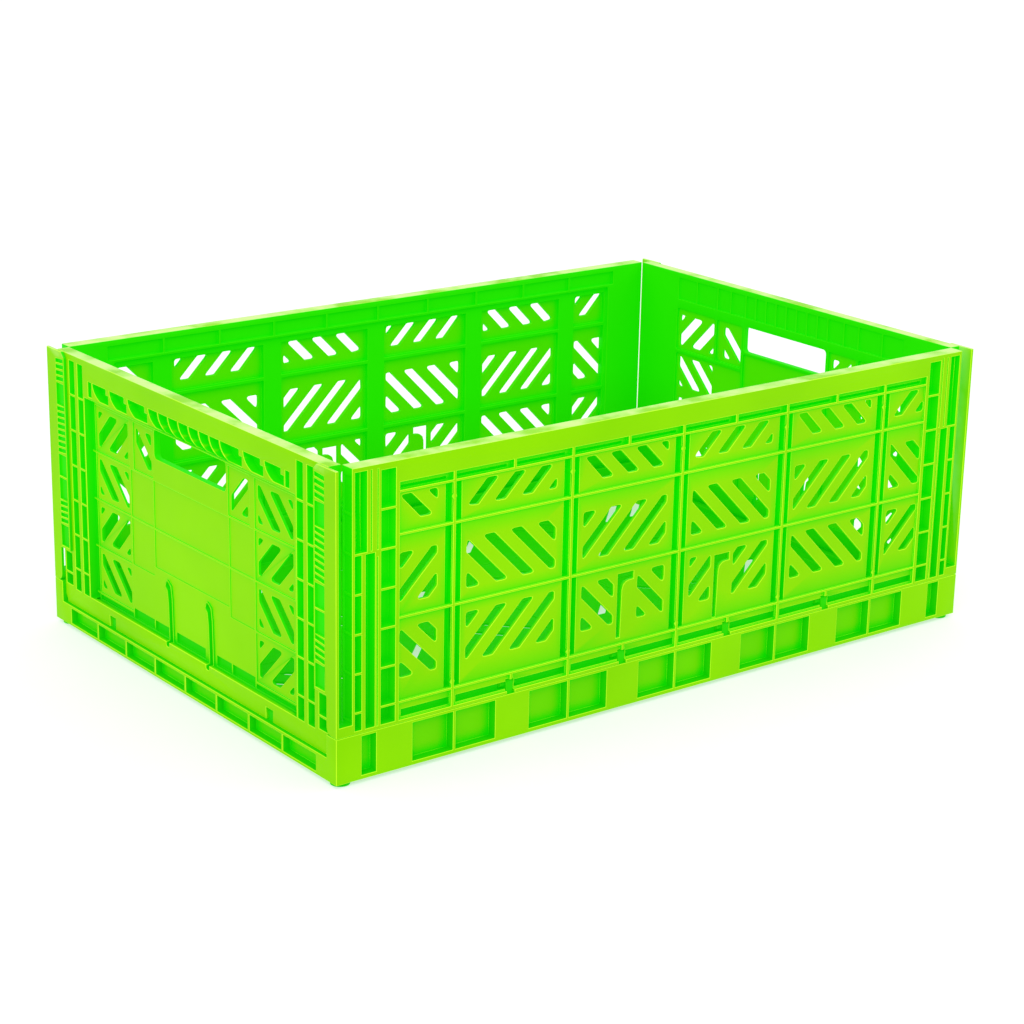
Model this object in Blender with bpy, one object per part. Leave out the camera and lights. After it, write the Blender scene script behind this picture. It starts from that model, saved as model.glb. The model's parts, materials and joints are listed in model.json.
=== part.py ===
"""Collapsible storage crate: a base tray and four walls that fold inward on moulded hinges.

Five mouldings, each one object.  The front and back walls are the same moulding turned round,
and so are the two end walls.  Sizes are in millimetres and become metres when a mesh is made.
X runs along the crate, Y across it and Z up; the origin is on the ground under its middle.
"""
import math

import bmesh
import bpy
from mathutils import Matrix

MM = 0.001
COLLECTION = "collapsible_storage_crate"

# Driving dimensions of the open crate.
LENGTH = 600.0
WIDTH = 400.0
HEIGHT = 224.0
FOOT_HEIGHT = 3.0
BASE_TOP = 36.5
END_SILL_TOP = 19.7
FLOOR_TOP = 15.0
FLOOR_THICKNESS = 3.0
LONG_THICKNESS = 12.0
END_THICKNESS = 10.0
GAP = 0.3

# Where each wall starts and turns.  A wall's hinge lies in the middle of its thickness.
LONG_BOTTOM = BASE_TOP + GAP
LONG_HINGE_HEIGHT = LONG_BOTTOM + LONG_THICKNESS / 2
LONG_HINGE_Y = (WIDTH - LONG_THICKNESS) / 2
END_BOTTOM = END_SILL_TOP + GAP
END_HINGE_HEIGHT = END_BOTTOM + END_THICKNESS / 2
RETURN_THICKNESS = 2.3
END_OUTER_X = LENGTH / 2 - RETURN_THICKNESS - GAP
END_HINGE_X = END_OUTER_X - END_THICKNESS / 2
END_HALF_WIDTH = WIDTH / 2 - LONG_THICKNESS - 0.7

# The long wall's return plate, which covers the end wall's edge, and the slot beside it.
RETURN_REACH = 27.0
RETURN_BOTTOM = 65.0
CORNER_SLOT = (END_OUTER_X - END_THICKNESS - GAP, LENGTH / 2 - RETURN_THICKNESS)
CORNER_BRIDGE_TOP = LONG_HINGE_HEIGHT + 1.5

# Lattice of the long wall: four full columns and a narrow one at each end, in three rows.
COLUMN_PITCH = 102.0
COLUMN_LINES = [-2 * COLUMN_PITCH, -COLUMN_PITCH, 0.0, COLUMN_PITCH, 2 * COLUMN_PITCH]
LATTICE_HALF = 249.0
ROW_LINES = [202.0, 172.0, 113.0, 52.0]
ROW_SLOTS = [(181.0, 199.0), (122.5, 158.5), (69.0, 105.0)]
TILE_DEPTH = 1.5
TILE_BACK = 4.6
GROOVE_DEPTH = 6.4
WEB_BACK = 8.6
RIB = 2.4
THIN_RIB = 1.8
GROOVE_WIDTH = 5.6
SLOT_MARGIN = 13.0
BAND_BOTTOM = 208.5

# Diagonal slots: width and spacing across the slot.
SLOT_WIDTH = 7.4
SLOT_PITCH = 16.6
SLOT_SHIFT = -1.5

# Hooked slits of the long wall's spring tongues: the lower left corner of each.
SPRING_SLITS = [(-57.0, 57.0), (36.0, 53.5)]
SPRING_SLIT_HEIGHT = 49.0

# Ladders of small pockets at the ends of each wall.
RUNG_PITCH = 28.0
LADDER_DEPTH = 8.6
POST_LADDERS = [(252.2, 263.0), (274.6, 284.6)]
POST_GUTTER = (265.6, 272.4)
END_LADDERS = [(149.6, 156.2), (163.2, 170.0)]

# End wall layout.
HANDLE = (-50.0, 50.0, 170.0, 192.5)
HANDLE_POCKETS = 7
END_COLUMN = (88.0, 138.6)
END_SIDE_CELL = (55.0, 79.0)
END_ROWS = [191.0, 153.2, 115.4, 77.6, 39.8]
END_FIELD = (139.8, 34.5, 194.6)
END_FIELD_DEPTH = 4.2
END_TILE_DEPTH = 5.4
END_SKIN_BACK = 8.4
END_GROOVE = (139.6, 146.2)
POCKET_LINES = [50.0, 80.5, 108.0, 134.0, 140.0]
POCKET_BOTTOM = 196.8
POCKET_SWEEP = 11.0

# Hinges: lugs on the base, each with a pin on both sides, in notches of the walls.
PIN_RADIUS = 2.0
BORE_RADIUS = 3.0
PIN_SIDES = 6
PIN_REACH = 3.7
LONG_LUGS = [-153.0, -51.0, 51.0, 153.0]
END_LUGS = [-112.0, 112.0]
LONG_LUG_WIDTH = 6.0
LONG_LUG_RADIUS = 4.0
END_LUG_WIDTH = 8.0
END_LUG_RADIUS = 3.5
NOTCH_CLEARANCE = 0.5

# Floor of the tray: its cells and the margin of each.
FLOOR_COLUMNS = 6
FLOOR_ROWS = 4
FLOOR_HALF_X = 276.0
FLOOR_HALF_Y = 180.0
FLOOR_CELL_MARGIN = 4.0

# Base tray side band.
BASE_BLOCK_PITCH = 101.0
BASE_BLOCK_HALF = 15.0
CORNER_BLOCK = 20.5
CORNER_RECESS = 12.0


def clear_scene():
    for old in list(bpy.data.objects):
        bpy.data.objects.remove(old, do_unlink=True)


def new_collection(name):
    group = bpy.data.collections.new(name)
    bpy.context.scene.collection.children.link(group)
    return group


def add_object(name, data):
    item = bpy.data.objects.new(name, data)
    bpy.context.scene.collection.objects.link(item)
    return item


def evaluated_mesh(item):
    bpy.context.view_layer.update()
    graph = bpy.context.evaluated_depsgraph_get()
    return bpy.data.meshes.new_from_object(item.evaluated_get(graph))


def turn_for(axis):
    """Rotation that lays a flat curve square to the axis it is extruded along."""
    if axis == "x":
        return Matrix(((0, 0, 1, 0), (1, 0, 0, 0), (0, 1, 0, 0), (0, 0, 0, 1)))
    if axis == "y":
        return Matrix(((1, 0, 0, 0), (0, 0, -1, 0), (0, 1, 0, 0), (0, 0, 0, 1)))
    return Matrix.Identity(4)


def extruded(name, outlines, low, high, axis="y"):
    """Solid of flat outlines, from low to high along the axis; inner outlines are holes."""
    curve = bpy.data.curves.new(name, "CURVE")
    curve.dimensions = "2D"
    curve.fill_mode = "BOTH"
    curve.extrude = (high - low) / 2 * MM
    for outline in outlines:
        spline = curve.splines.new("POLY")
        spline.points.add(len(outline) - 1)
        for point, (across, up) in zip(spline.points, outline):
            point.co = (across * MM, up * MM, 0.0, 1.0)
        spline.use_cyclic_u = True
    middle = (low + high) / 2 * MM
    offset = {"x": (middle, 0, 0), "y": (0, middle, 0), "z": (0, 0, middle)}[axis]
    flat = add_object(name, curve)
    flat.matrix_world = Matrix.Translation(offset) @ turn_for(axis)
    mesh = evaluated_mesh(flat)
    work = bmesh.new()
    work.from_mesh(mesh)
    bmesh.ops.remove_doubles(work, verts=work.verts, dist=0.00001)
    bmesh.ops.recalc_face_normals(work, faces=work.faces)
    work.to_mesh(mesh)
    work.free()
    solid = add_object(name, mesh)
    solid.matrix_world = flat.matrix_world
    bpy.data.objects.remove(flat, do_unlink=True)
    return solid


def rectangle(left, right, bottom, top):
    return [(left, bottom), (right, bottom), (right, top), (left, top)]


def circle(centre_a, centre_b, radius, sides):
    points = []
    for step in range(sides):
        angle = math.tau * (step + 0.5) / sides
        points.append((centre_a + radius * math.cos(angle), centre_b + radius * math.sin(angle)))
    return points


def combine(body, tool, operation):
    """Boolean the tool into the body and drop the tool."""
    step = body.modifiers.new(operation.lower(), "BOOLEAN")
    step.operation = operation
    step.solver = "EXACT"
    step.object = tool
    mesh = evaluated_mesh(body)
    body.modifiers.clear()
    body.data = mesh
    bpy.data.objects.remove(tool, do_unlink=True)


def clip(points, normal, limit):
    """Part of a convex outline where the point's distance along the normal is under the limit."""
    kept = []
    for here, after in zip(points, points[1:] + points[:1]):
        here_over = here[0] * normal[0] + here[1] * normal[1] - limit
        after_over = after[0] * normal[0] + after[1] * normal[1] - limit
        if here_over <= 0:
            kept.append(here)
        if here_over * after_over < 0:
            share = here_over / (here_over - after_over)
            kept.append((here[0] + share * (after[0] - here[0]), here[1] + share * (after[1] - here[1])))
    return kept


def blunted(points, size):
    """Outline with every corner cut off by the size, or by less on a short side."""
    result = []
    for before, here, after in zip(points[-1:] + points[:-1], points, points[1:] + points[:1]):
        for other in (before, after):
            reach = math.dist(here, other)
            share = min(size, 0.4 * reach) / reach
            result.append((here[0] + share * (other[0] - here[0]), here[1] + share * (other[1] - here[1])))
    return result


def diagonal_slots(left, right, bottom, top, rising, shift):
    """Slots at 45 degrees clipped to a cell, rising to the right or falling.

    One of them is off the cell's middle by the shift.
    """
    slope = -1.0 if rising else 1.0
    normal = (math.sqrt(0.5), slope * math.sqrt(0.5))
    cell = rectangle(left, right, bottom, top)
    across = [x * normal[0] + z * normal[1] for x, z in cell]
    low, high = min(across), max(across)
    first = (low + high) / 2 + shift
    outlines = []
    for step in range(-4, 5):
        near = first + step * SLOT_PITCH - SLOT_WIDTH / 2
        far = near + SLOT_WIDTH
        if high - far < 3.0:
            far = high + 1.0
        if near - low < 3.0:
            near = low - 1.0
        if far - 4.0 < low or near + 4.0 > high:
            continue
        piece = clip(cell, normal, far)
        piece = clip(piece, (-normal[0], -normal[1]), -near)
        if len(piece) >= 3:
            outlines.append(piece)
    return outlines


def wall_slab(name, half_length, bottom, thickness):
    """Plain wall, its lower inner edge rounded about the hinge so that it can fold."""
    radius = thickness / 2
    outline = [(0.0, bottom), (radius, bottom)]
    for step in range(1, 4):
        angle = math.radians(-90 + 90 * step / 3)
        outline.append((radius + radius * math.cos(angle), bottom + radius + radius * math.sin(angle)))
    outline += [(thickness, HEIGHT), (0.0, HEIGHT)]
    return extruded(name, [outline], -half_length, half_length, "x")


def ladder(left, right, bottom, top):
    """Pockets between rungs, on the rung heights that all the ladders share."""
    outlines = []
    low = bottom
    rung = ROW_LINES[-1]
    while low < top - 3.0:
        while rung - low < 6.0:
            rung += RUNG_PITCH
        high = min(rung - THIN_RIB / 2, top)
        outlines.append(rectangle(left, right, low, high))
        low = high + THIN_RIB
    return outlines


def both_sides(outlines):
    """The outlines and their mirror images across the wall's middle."""
    return outlines + [[(-x, z) for x, z in reversed(outline)] for outline in outlines]


def long_wall_cells():
    """Cells between the ribs: left, right, bottom, top, and the slots' left and right limits."""
    lines = [-LATTICE_HALF] + COLUMN_LINES + [LATTICE_HALF]
    cells = []
    for column, (left, right) in enumerate(zip(lines, lines[1:])):
        slot_left = left + (SLOT_MARGIN - 1.5 if column > 0 else 0.8)
        slot_right = right - (SLOT_MARGIN if column < len(lines) - 2 else 0.8)
        for row, (top, bottom) in enumerate(zip(ROW_LINES, ROW_LINES[1:])):
            rising = (column + row) % 2 == 1
            cells.append((column, row, left, right, bottom, top, slot_left, slot_right, rising))
    return cells


def spring_slit(corner_x, bottom):
    """Hooked slit beside a spring tongue of the long wall."""
    top = bottom + SPRING_SLIT_HEIGHT
    return [(corner_x, bottom), (corner_x + 3.5, bottom), (corner_x + 4.5, top - 12.0),
            (corner_x + 7.5, top - 7.0), (corner_x + 15.0, top - 6.0), (corner_x + 15.0, top), (corner_x, top)]


def long_wall_mesh():
    wall = wall_slab("long_wall", LENGTH / 2, LONG_BOTTOM, LONG_THICKNESS)
    half_rib = RIB / 2
    tiles = []
    grooves = []
    backs = []
    slots = []
    slits = [spring_slit(*corner) for corner in SPRING_SLITS]
    last = len(COLUMN_LINES)
    for column, row, left, right, bottom, top, slot_left, slot_right, rising in long_wall_cells():
        low = bottom + THIN_RIB / 2
        high = top - THIN_RIB / 2
        inner_left = left + (half_rib if column > 0 else 0.0)
        inner_right = right - (half_rib if column < last else 0.0)
        tiles.append(rectangle(inner_left, inner_right, low, high))
        if column > 0:
            grooves.append(rectangle(inner_left + GAP, inner_left + GROOVE_WIDTH, low + GAP, high - GAP))
        if column < last:
            grooves.append(rectangle(inner_right - GROOVE_WIDTH, inner_right - GAP, low + GAP, high - GAP))
        back_left = inner_left + (GROOVE_WIDTH + 1.8 if column > 0 else 1.5)
        back_right = inner_right - (GROOVE_WIDTH + 1.8 if column < last else 1.5)
        backs.append(rectangle(back_left, back_right, bottom + 1.5, top - 1.5))
        slot_low, slot_high = ROW_SLOTS[row]
        if row == 2 and column in (2, 3):
            start = slits[column - 2][0][0]
            slots += diagonal_slots(slot_left, start - 3.0, slot_low, slot_high, rising, SLOT_SHIFT)
            slots += diagonal_slots(start + 19.0, slot_right, slot_low, slot_high, rising, SLOT_SHIFT)
        else:
            slots += diagonal_slots(slot_left, slot_right, slot_low, slot_high, rising, SLOT_SHIFT)
    half_lines = [step * COLUMN_PITCH / 2 for step in range(-4, 5)]
    strip_lines = [-LATTICE_HALF - half_rib] + half_lines + [LATTICE_HALF + half_rib]
    strips = []
    sills = []
    for left, right in zip(strip_lines, strip_lines[1:]):
        inner_left, inner_right = left + half_rib, right - half_rib
        strips.append(rectangle(inner_left, inner_right, ROW_LINES[0] + THIN_RIB / 2, BAND_BOTTOM))
        sills.append(rectangle(inner_left, inner_right, LONG_BOTTOM + 2.6, ROW_LINES[-1] - THIN_RIB / 2))
    posts = []
    for left, right in POST_LADDERS:
        posts += ladder(left, right, LONG_BOTTOM + 3.0, HEIGHT - 3.5)
    posts.append(rectangle(*POST_GUTTER, LONG_BOTTOM + 3.0, 160.0))
    combine(wall, extruded("tiles", tiles, -1, TILE_DEPTH), "DIFFERENCE")
    combine(wall, extruded("strips", strips, -1, 4.0), "DIFFERENCE")
    combine(wall, extruded("sills", sills, -1, 2.4), "DIFFERENCE")
    combine(wall, extruded("grooves", grooves, -1, GROOVE_DEPTH), "DIFFERENCE")
    combine(wall, extruded("posts", both_sides(posts), -1, LADDER_DEPTH), "DIFFERENCE")
    web = [rectangle(-LATTICE_HALF, LATTICE_HALF, ROW_LINES[-1], ROW_LINES[0] + 4.0)]
    combine(wall, extruded("web", web, WEB_BACK, LONG_THICKNESS + 1), "DIFFERENCE")
    combine(wall, extruded("backs", backs, TILE_BACK, LONG_THICKNESS + 1), "DIFFERENCE")
    combine(wall, extruded("slots", slots + slits, -1, LONG_THICKNESS + 1), "DIFFERENCE")
    corner = both_sides([rectangle(CORNER_SLOT[0], LENGTH / 2 + 1, CORNER_BRIDGE_TOP, HEIGHT + 1)])
    combine(wall, extruded("corner_slots", corner, -1, LONG_THICKNESS + 1), "DIFFERENCE")
    for side in (-1, 1):
        near, far = sorted((side * CORNER_SLOT[1], side * LENGTH / 2))
        outline = [(0.0, LONG_BOTTOM + 1), (LONG_THICKNESS, LONG_HINGE_HEIGHT),
                   (LONG_THICKNESS, RETURN_BOTTOM), (RETURN_REACH, RETURN_BOTTOM),
                   (RETURN_REACH, HEIGHT), (0.0, HEIGHT)]
        combine(wall, extruded("return_plate", [outline], near, far, "x"), "UNION")
    cut_hinge_notches(wall, LONG_LUGS, LONG_LUG_WIDTH, LONG_LUG_RADIUS, LONG_THICKNESS, LONG_HINGE_HEIGHT)
    return centred_on_hinge(wall, LONG_THICKNESS, LONG_HINGE_HEIGHT)


def cut_hinge_notches(wall, places, lug_width, lug_radius, thickness, hinge_height):
    """Notches for the base's lugs, each with a bore on both sides for its pins."""
    half = lug_width / 2 + NOTCH_CLEARANCE
    top = hinge_height + lug_radius + NOTCH_CLEARANCE
    notches = [rectangle(place - half, place + half, 0.0, top) for place in places]
    combine(wall, extruded("notches", notches, -1, thickness + 1), "DIFFERENCE")
    for place in places:
        reach = half + PIN_REACH + NOTCH_CLEARANCE
        hole = [circle(thickness / 2, hinge_height, BORE_RADIUS, PIN_SIDES)]
        combine(wall, extruded("bore", hole, place - reach, place + reach, "x"), "DIFFERENCE")


def centred_on_hinge(wall, thickness, hinge_height):
    """The wall's mesh with its origin moved onto the hinge axis."""
    wall.data.transform(wall.matrix_world)
    wall.data.transform(Matrix.Translation((0, -thickness / 2 * MM, -hinge_height * MM)))
    mesh = wall.data
    bpy.data.objects.remove(wall, do_unlink=True)
    return mesh


def swept_side(x, bottom, top):
    """Side of a pocket that curves over to the right on its way down."""
    last = math.radians(60)
    side = []
    for step in range(4):
        angle = last * step / 3
        shift = POCKET_SWEEP * (1 - math.cos(angle)) / (1 - math.cos(last))
        side.append((x + shift, top - (top - bottom) * math.sin(angle) / math.sin(last)))
    return side


def band_pockets():
    """Pockets under an end wall's rim: narrow ones over the handle and wider ones beside it."""
    half_rib = THIN_RIB / 2
    step = (HANDLE[1] - HANDLE[0]) / HANDLE_POCKETS
    outlines = []
    for count in range(HANDLE_POCKETS):
        left = HANDLE[0] + count * step + half_rib
        right_side = swept_side(left + step - 2 * half_rib, POCKET_BOTTOM, BAND_BOTTOM)
        outlines.append(swept_side(left, POCKET_BOTTOM, BAND_BOTTOM) + right_side[::-1])
    wide = list(zip(POCKET_LINES, POCKET_LINES[1:-1]))
    wide += [(-right, -left) for left, right in wide]
    for left, right in wide:
        corners = [(right - half_rib, POCKET_BOTTOM), (right - half_rib, BAND_BOTTOM)]
        outlines.append(swept_side(left + half_rib, POCKET_BOTTOM, BAND_BOTTOM) + corners)
    ends = rectangle(POCKET_LINES[-2] + half_rib, POCKET_LINES[-1], POCKET_BOTTOM, BAND_BOTTOM)
    return outlines + both_sides([ends])


def end_wall_mesh():
    wall = wall_slab("end_wall", END_HALF_WIDTH, END_BOTTOM, END_THICKNESS)
    tiles = []
    slots = []
    rows = list(zip(END_ROWS, END_ROWS[1:]))
    for side in (-1, 1):
        left, right = sorted((side * END_COLUMN[0], side * END_COLUMN[1]))
        for row, (top, bottom) in enumerate(rows):
            tiles.append(rectangle(left, right, bottom + THIN_RIB / 2, top - THIN_RIB / 2))
            rising = (row % 2 == 0) == (side < 0)
            slots += diagonal_slots(left + 3.0, right - 3.0, bottom + 5.3, top - 5.1, rising, SLOT_PITCH / 2)
        left, right = sorted((side * END_SIDE_CELL[0], side * END_SIDE_CELL[1]))
        top, bottom = rows[0]
        tiles.append(rectangle(left - 2.0, right + 2.0, bottom + THIN_RIB / 2, top - THIN_RIB / 2))
        slots += diagonal_slots(left + 1.0, right - 1.0, bottom + 5.3, top - 5.1, side > 0, SLOT_SHIFT)
    half_field, field_bottom, field_top = END_FIELD
    field = [rectangle(-half_field, half_field, field_bottom, field_top)]
    combine(wall, extruded("field", field, -1, END_FIELD_DEPTH), "DIFFERENCE")
    combine(wall, extruded("tiles", tiles, -1, END_TILE_DEPTH), "DIFFERENCE")
    deep = [rectangle(*END_GROOVE, field_bottom, field_top)]
    for left, right in END_LADDERS:
        deep += ladder(left, right, field_bottom, HEIGHT - 6.0)
    combine(wall, extruded("pockets", band_pockets() + both_sides(deep), -1, 6.5), "DIFFERENCE")
    backs = [rectangle(-50.5, 50.5, 42.0, 168.0)]
    backs += both_sides([rectangle(52.5, 138.0, 42.0, 151.8), rectangle(53.0, 85.5, 154.6, 192.0),
                         rectangle(87.5, 138.0, 154.6, 192.0)])
    combine(wall, extruded("backs", backs, END_SKIN_BACK, END_THICKNESS + 1), "DIFFERENCE")
    slits = both_sides([[(26.5, 30.0), (30.0, 30.0), (31.0, 75.0), (27.5, 75.0)]])
    handle = blunted(rectangle(*HANDLE), 4.0)
    combine(wall, extruded("slots", slots + slits + [handle], -1, END_THICKNESS + 1), "DIFFERENCE")
    corner = [(END_HALF_WIDTH - 9.0, 0.0), (END_HALF_WIDTH + 5.0, 0.0),
              (END_HALF_WIDTH + 5.0, END_BOTTOM + 14.0), (END_HALF_WIDTH - 2.4, END_BOTTOM + 2.4)]
    combine(wall, extruded("corners", both_sides([corner]), -1, END_THICKNESS + 1), "DIFFERENCE")
    cut_hinge_notches(wall, END_LUGS, END_LUG_WIDTH, END_LUG_RADIUS, END_THICKNESS, END_HINGE_HEIGHT)
    return centred_on_hinge(wall, END_THICKNESS, END_HINGE_HEIGHT)


def side_band_pockets():
    """Pockets of the base's long sides, between its flat blocks and thin ribs."""
    low, high = FOOT_HEIGHT + 3.5, BASE_TOP - 2.2
    edges = [-(LENGTH / 2 - CORNER_BLOCK)]
    for step in range(-3, 3):
        middle = (step + 0.5) * BASE_BLOCK_PITCH
        edges += [middle - BASE_BLOCK_HALF, middle + BASE_BLOCK_HALF]
    edges.append(LENGTH / 2 - CORNER_BLOCK)
    pockets = []
    for left, right in zip(edges[0::2], edges[1::2]):
        middle = (left + right) / 2
        if right - left > 2 * CORNER_RECESS:
            pockets.append(rectangle(left, middle - RIB / 2, low, high))
            pockets.append(rectangle(middle + RIB / 2, right, low, high))
        else:
            pockets.append(rectangle(left, right, low, high))
    return pockets


def floor_cells():
    """Cells of the floor between its ribs: left, right, near, far, rising."""
    cells = []
    pitch_x = 2 * FLOOR_HALF_X / FLOOR_COLUMNS
    pitch_y = 2 * FLOOR_HALF_Y / FLOOR_ROWS
    for column in range(FLOOR_COLUMNS):
        for row in range(FLOOR_ROWS):
            left = -FLOOR_HALF_X + column * pitch_x + FLOOR_CELL_MARGIN
            near = -FLOOR_HALF_Y + row * pitch_y + FLOOR_CELL_MARGIN
            right = left + pitch_x - 2 * FLOOR_CELL_MARGIN
            far = near + pitch_y - 2 * FLOOR_CELL_MARGIN
            cells.append((left, right, near, far, (column + row) % 2 == 0))
    return cells


def floor_slots():
    """Drain slots: two in each cell of the floor."""
    reach, half = 18.0, 4.0
    outlines = []
    for left, right, near, far, rising in floor_cells():
        middle = (near + far) / 2
        lean = reach if rising else -reach
        for shift in (-14.0, 14.0):
            x = (left + right) / 2 + shift
            outlines.append([(x - lean - half, middle - reach), (x - lean + half, middle - reach),
                             (x + lean + half, middle + reach), (x + lean - half, middle + reach)])
    return outlines


def base_mesh():
    half_length, half_width = LENGTH / 2, WIDTH / 2
    rim = half_width - LONG_THICKNESS
    base = extruded("base", [rectangle(-half_length, half_length, -half_width, half_width)],
                    FOOT_HEIGHT, BASE_TOP, "z")
    room = [rectangle(-half_length - 1, half_length + 1, -rim, rim)]
    combine(base, extruded("room", room, END_SILL_TOP, BASE_TOP + 1, "z"), "DIFFERENCE")
    floor = [rectangle(-END_HINGE_X + 8.5, END_HINGE_X - 8.5, -rim, rim)]
    combine(base, extruded("floor", floor, FLOOR_TOP, BASE_TOP, "z"), "DIFFERENCE")
    under = [rectangle(left - 2.5, right + 2.5, near - 2.5, far + 2.5)
             for left, right, near, far, _ in floor_cells()]
    combine(base, extruded("under", under, 0, FLOOR_TOP - FLOOR_THICKNESS, "z"), "DIFFERENCE")
    combine(base, extruded("drain", floor_slots(), 0, BASE_TOP, "z"), "DIFFERENCE")
    pockets = side_band_pockets()
    combine(base, extruded("front_band", pockets, -half_width - 1, -half_width + 8.0), "DIFFERENCE")
    combine(base, extruded("back_band", pockets, half_width - 8.0, half_width + 1), "DIFFERENCE")
    end_pockets = [rectangle(step * 44.0 + 1.5, step * 44.0 + 42.5, FOOT_HEIGHT + 2.5, END_SILL_TOP - 2.5)
                   for step in range(-4, 4)]
    combine(base, extruded("left_band", end_pockets, -half_length - 1, -half_length + 6.0, "x"), "DIFFERENCE")
    combine(base, extruded("right_band", end_pockets, half_length - 6.0, half_length + 1, "x"), "DIFFERENCE")
    for side_x in (-1, 1):
        for side_y in (-1, 1):
            foot = circle(side_x * (half_length - 9.0), side_y * (half_width - 9.0), 7.0, 12)
            combine(base, extruded("foot", [foot], 0, FOOT_HEIGHT + 2, "z"), "UNION")
    for side in (-1, 1):
        long_hinge = (side * LONG_HINGE_Y, LONG_HINGE_HEIGHT)
        end_hinge = (side * END_HINGE_X, END_HINGE_HEIGHT)
        add_lugs(base, LONG_LUGS, long_hinge, LONG_LUG_WIDTH, LONG_LUG_RADIUS, "x")
        add_lugs(base, END_LUGS, end_hinge, END_LUG_WIDTH, END_LUG_RADIUS, "y")
    return base


def add_lugs(base, places, hinge, width, radius, along):
    """Lugs that hold a wall, each a round-topped post with a pin through it."""
    hinge_across, hinge_height = hinge
    for place in places:
        foot = hinge_height - radius - 5.0
        outline = [(hinge_across - radius, foot), (hinge_across + radius, foot)]
        for step in range(5):
            angle = math.pi * step / 4
            outline.append((hinge_across + radius * math.cos(angle), hinge_height + radius * math.sin(angle)))
        post = extruded("lug", [outline], place - width / 2, place + width / 2, along)
        combine(base, post, "UNION")
        reach = width / 2 + PIN_REACH
        pin = [circle(hinge_across, hinge_height, PIN_RADIUS, PIN_SIDES)]
        combine(base, extruded("pin", pin, place - reach, place + reach, along), "UNION")


def plastic(name, colour):
    material = bpy.data.materials.new(name)
    material.use_nodes = True
    shader = material.node_tree.nodes["Principled BSDF"]
    shader.inputs["Base Color"].default_value = (*colour, 1.0)
    shader.inputs["Roughness"].default_value = 0.38
    shader.inputs["Metallic"].default_value = 0.0
    return material


def stand(name, mesh, group, location, turn, material):
    """Object of the mesh, stood on its hinge and turned about the vertical."""
    part = bpy.data.objects.new(name, mesh)
    part.location = [value * MM for value in location]
    part.rotation_euler = (0.0, 0.0, math.radians(turn))
    mesh.materials.clear()
    mesh.materials.append(material)
    group.objects.link(part)
    return part


def main():
    clear_scene()
    group = new_collection(COLLECTION)
    base = base_mesh()
    base.data.transform(base.matrix_world)
    base_data = base.data
    bpy.data.objects.remove(base, do_unlink=True)
    long_data = long_wall_mesh()
    end_data = end_wall_mesh()
    green = (0.14, 0.80, 0.0)
    stand("base_tray", base_data, group, (0, 0, 0), 0, plastic("base_plastic", green))
    long_plastic = plastic("long_wall_plastic", green)
    stand("front_wall", long_data, group, (0, -LONG_HINGE_Y, LONG_HINGE_HEIGHT), 0, long_plastic)
    stand("back_wall", long_data, group, (0, LONG_HINGE_Y, LONG_HINGE_HEIGHT), 180, long_plastic)
    end_plastic = plastic("end_wall_plastic", green)
    stand("left_end_wall", end_data, group, (-END_HINGE_X, 0, END_HINGE_HEIGHT), -90, end_plastic)
    stand("right_end_wall", end_data, group, (END_HINGE_X, 0, END_HINGE_HEIGHT), 90, end_plastic)


main()
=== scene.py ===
"""Looks for the collapsible storage crate: finely moulded walls and tray, plastic, light and camera.

Every moulding is built from flat outlines in millimetres, cut and joined like a mould's own layers.
Wall coordinates: x runs along the wall, z is the height above the ground, and depth is measured
inward from the wall's outer face.
"""
import json
import math

import bmesh
import bpy
from mathutils import Matrix, Vector


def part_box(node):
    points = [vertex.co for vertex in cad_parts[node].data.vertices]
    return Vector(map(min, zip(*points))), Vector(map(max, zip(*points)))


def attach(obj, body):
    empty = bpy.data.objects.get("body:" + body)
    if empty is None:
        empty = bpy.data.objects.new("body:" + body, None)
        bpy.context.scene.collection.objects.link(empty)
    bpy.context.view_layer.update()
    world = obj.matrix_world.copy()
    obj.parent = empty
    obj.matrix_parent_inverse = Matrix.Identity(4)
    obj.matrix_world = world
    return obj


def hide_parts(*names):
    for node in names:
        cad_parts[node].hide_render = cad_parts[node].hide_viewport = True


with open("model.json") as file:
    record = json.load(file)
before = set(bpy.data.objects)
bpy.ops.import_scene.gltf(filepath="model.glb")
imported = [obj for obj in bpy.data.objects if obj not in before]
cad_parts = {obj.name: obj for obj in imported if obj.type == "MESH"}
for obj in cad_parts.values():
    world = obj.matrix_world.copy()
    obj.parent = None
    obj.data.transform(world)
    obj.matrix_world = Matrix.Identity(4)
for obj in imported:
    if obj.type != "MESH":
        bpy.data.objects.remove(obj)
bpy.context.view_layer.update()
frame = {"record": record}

MM = 0.001
MICRON_DIGITS = 6


def millimetres(point):
    """A point of the frame in millimetres, to the hundredth that the sizes are given in."""
    return [round(value / MM, 2) for value in point]


# Sizes read from the frame.
tray_low, tray_high = (millimetres(corner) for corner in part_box("base_tray"))
front_low, front_high = (millimetres(corner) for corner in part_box("front_wall"))
end_low, end_high = (millimetres(corner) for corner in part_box("left_end_wall"))
hinges = {joint["name"]: millimetres(joint["pos_m"]) for joint in frame["record"]["behaviour"]["joints"]}

LENGTH = tray_high[0] - tray_low[0]
WIDTH = tray_high[1] - tray_low[1]
HEIGHT = front_high[2]
LONG_HINGE_Y, LONG_HINGE_HEIGHT = hinges["back_wall_fold"][1:]
END_HINGE_X, _, END_HINGE_HEIGHT = hinges["right_end_wall_fold"]
LONG_BOTTOM = front_low[2]
LONG_THICKNESS = WIDTH - 2 * LONG_HINGE_Y
RETURN_REACH = round(front_high[1] - front_low[1], 2)
END_BOTTOM = end_low[2]
END_HALF_WIDTH = end_high[1]
END_OUTER_X = -end_low[0]
END_THICKNESS = round(end_high[0] - end_low[0], 2)
GAP = 0.3

# How far a cutting shape runs past the face that it cuts into.
OVERCUT = 1.0

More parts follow.
